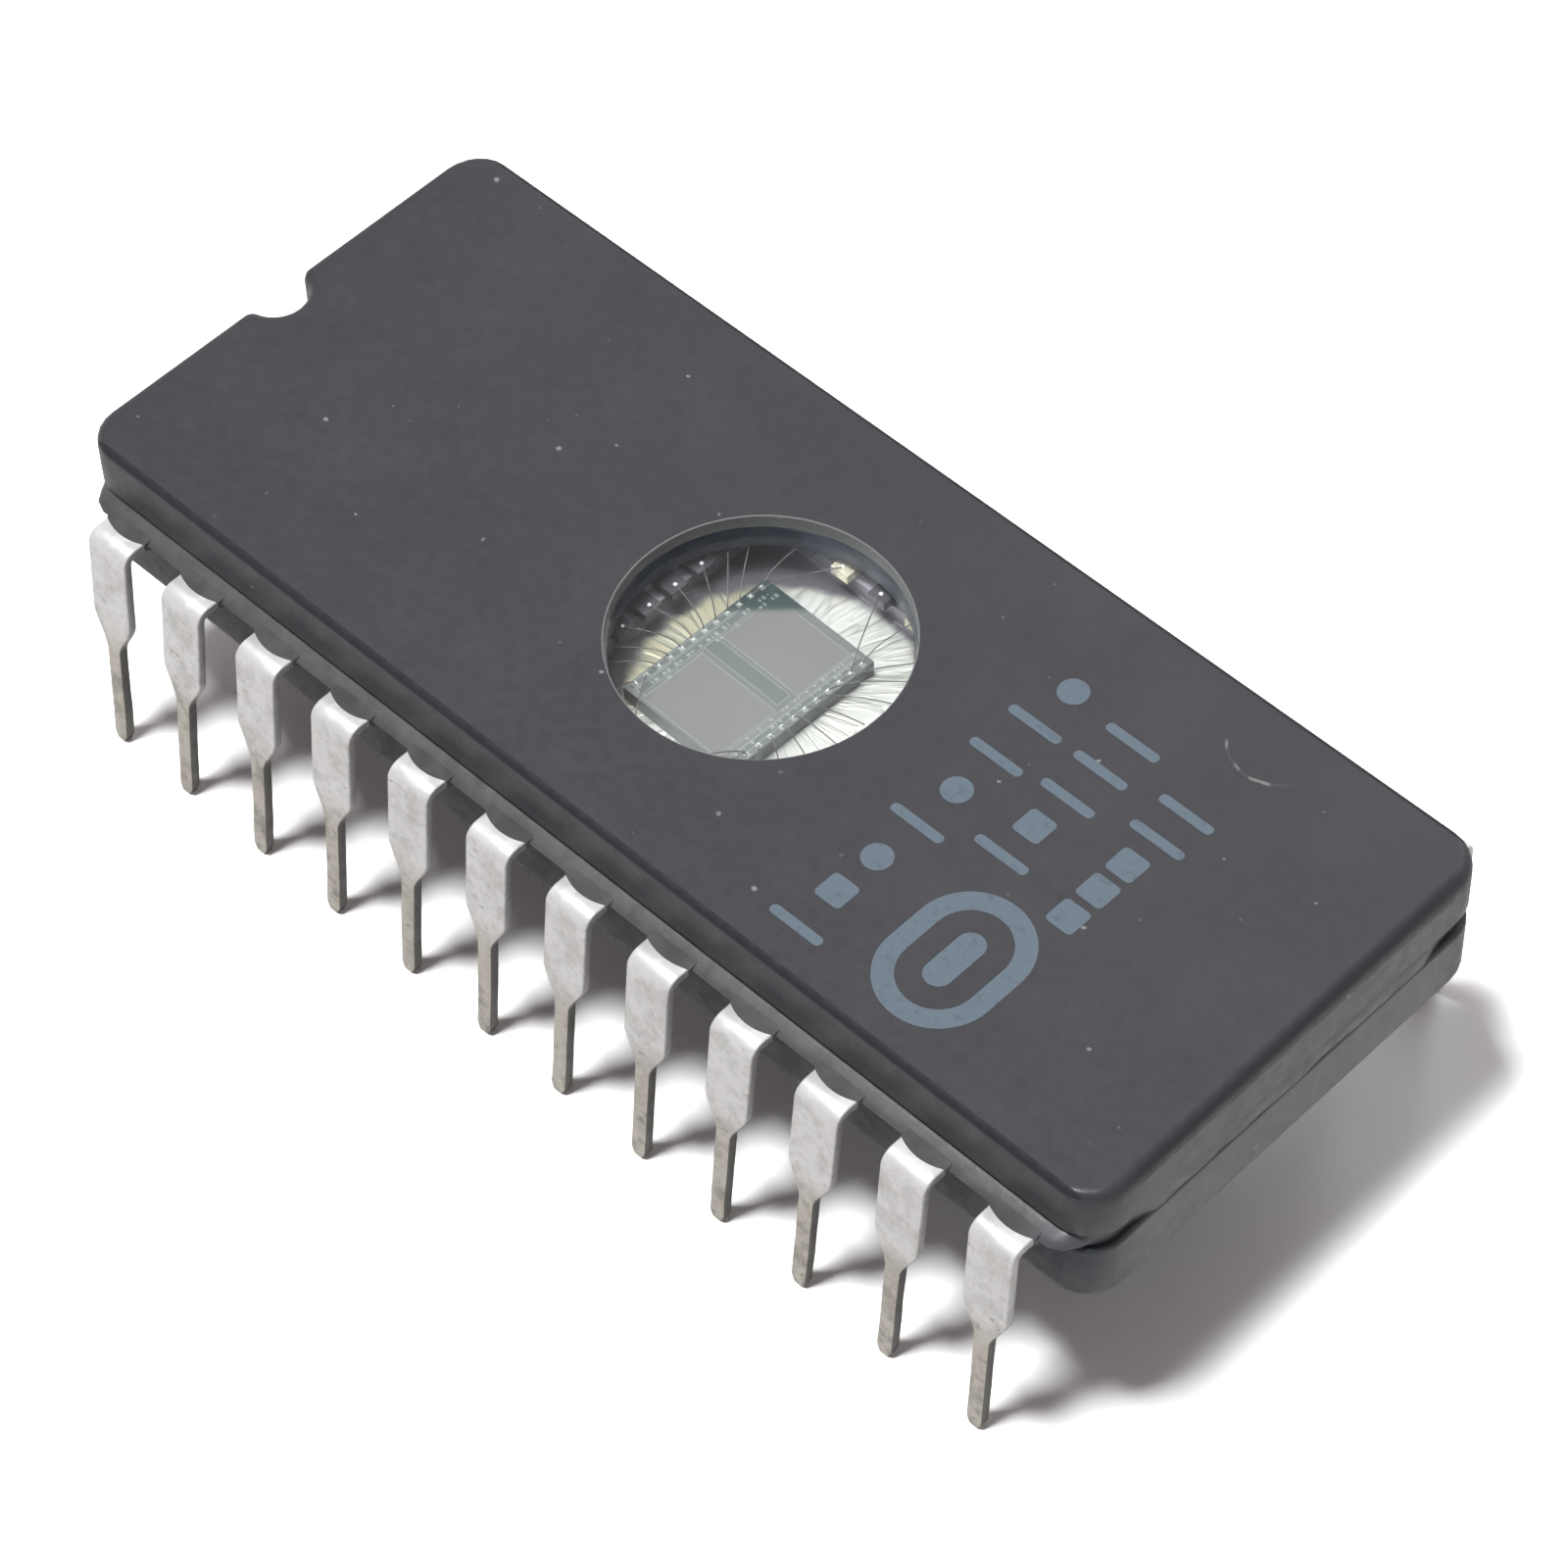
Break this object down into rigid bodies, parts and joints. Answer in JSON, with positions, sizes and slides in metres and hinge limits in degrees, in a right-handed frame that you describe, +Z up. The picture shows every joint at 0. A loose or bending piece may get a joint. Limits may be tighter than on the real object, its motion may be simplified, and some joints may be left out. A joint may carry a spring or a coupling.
{
  "type": "windowed dual in-line memory chip",
  "caption": "Ultraviolet-erasable memory chip in a ceramic dual in-line package with a round glass window over the die and a row of tinned leads along each long side.",
  "frame": {"origin": "midway between the two rows of leads and midway along the package, at the height of the lead tips", "axes": "+X along the package, away from the index notch; +Y across it, towards the row of the higher-numbered leads; +Z up, out through the window"},
  "size_m": [0.0318, 0.016, 0.0083],
  "materials": {
    "base_ceramic": "matte, pressed and fired alumina",
    "cap_ceramic": "matte to satin, pressed and fired alumina",
    "seal_glass": "satin, devitrified solder glass",
    "window_glass": "polished",
    "tin_plate": "satin tin plate on nickel-iron strip",
    "floor_metal": "bright fired metal, crinkled",
    "silicon": "polished silicon with fine circuit pattern",
    "bond_aluminium": "bright drawn wire"
  },
  "bodies": {
    "root": {"base_ceramic": "base_ceramic", "cavity_metal": "floor_metal", "die": "silicon", "seal_glass": "seal_glass", "cap_ceramic": "cap_ceramic", "window_lens": "window_glass", "lead_01": "tin_plate", "lead_02": "tin_plate", "lead_03": "tin_plate", "lead_04": "tin_plate", "lead_05": "tin_plate", "lead_06": "tin_plate", "lead_07": "tin_plate", "lead_08": "tin_plate", "lead_09": "tin_plate", "lead_10": "tin_plate", "lead_11": "tin_plate", "lead_12": "tin_plate", "lead_13": "tin_plate", "lead_14": "tin_plate", "lead_15": "tin_plate", "lead_16": "tin_plate", "lead_17": "tin_plate", "lead_18": "tin_plate", "lead_19": "tin_plate", "lead_20": "tin_plate", "lead_21": "tin_plate", "lead_22": "tin_plate", "lead_23": "tin_plate", "lead_24": "tin_plate", "bond_wire_01": "bond_aluminium", "bond_wire_02": "bond_aluminium", "bond_wire_03": "bond_aluminium", "bond_wire_04": "bond_aluminium", "bond_wire_05": "bond_aluminium", "bond_wire_06": "bond_aluminium", "bond_wire_07": "bond_aluminium", "bond_wire_08": "bond_aluminium", "bond_wire_09": "bond_aluminium", "bond_wire_10": "bond_aluminium", "bond_wire_11": "bond_aluminium", "bond_wire_12": "bond_aluminium", "bond_wire_13": "bond_aluminium", "bond_wire_14": "bond_aluminium", "bond_wire_15": "bond_aluminium", "bond_wire_16": "bond_aluminium", "bond_wire_17": "bond_aluminium", "bond_wire_18": "bond_aluminium", "bond_wire_19": "bond_aluminium", "bond_wire_20": "bond_aluminium", "bond_wire_21": "bond_aluminium", "bond_wire_22": "bond_aluminium", "bond_wire_23": "bond_aluminium", "bond_wire_24": "bond_aluminium"}
  },
  "joints": []
}
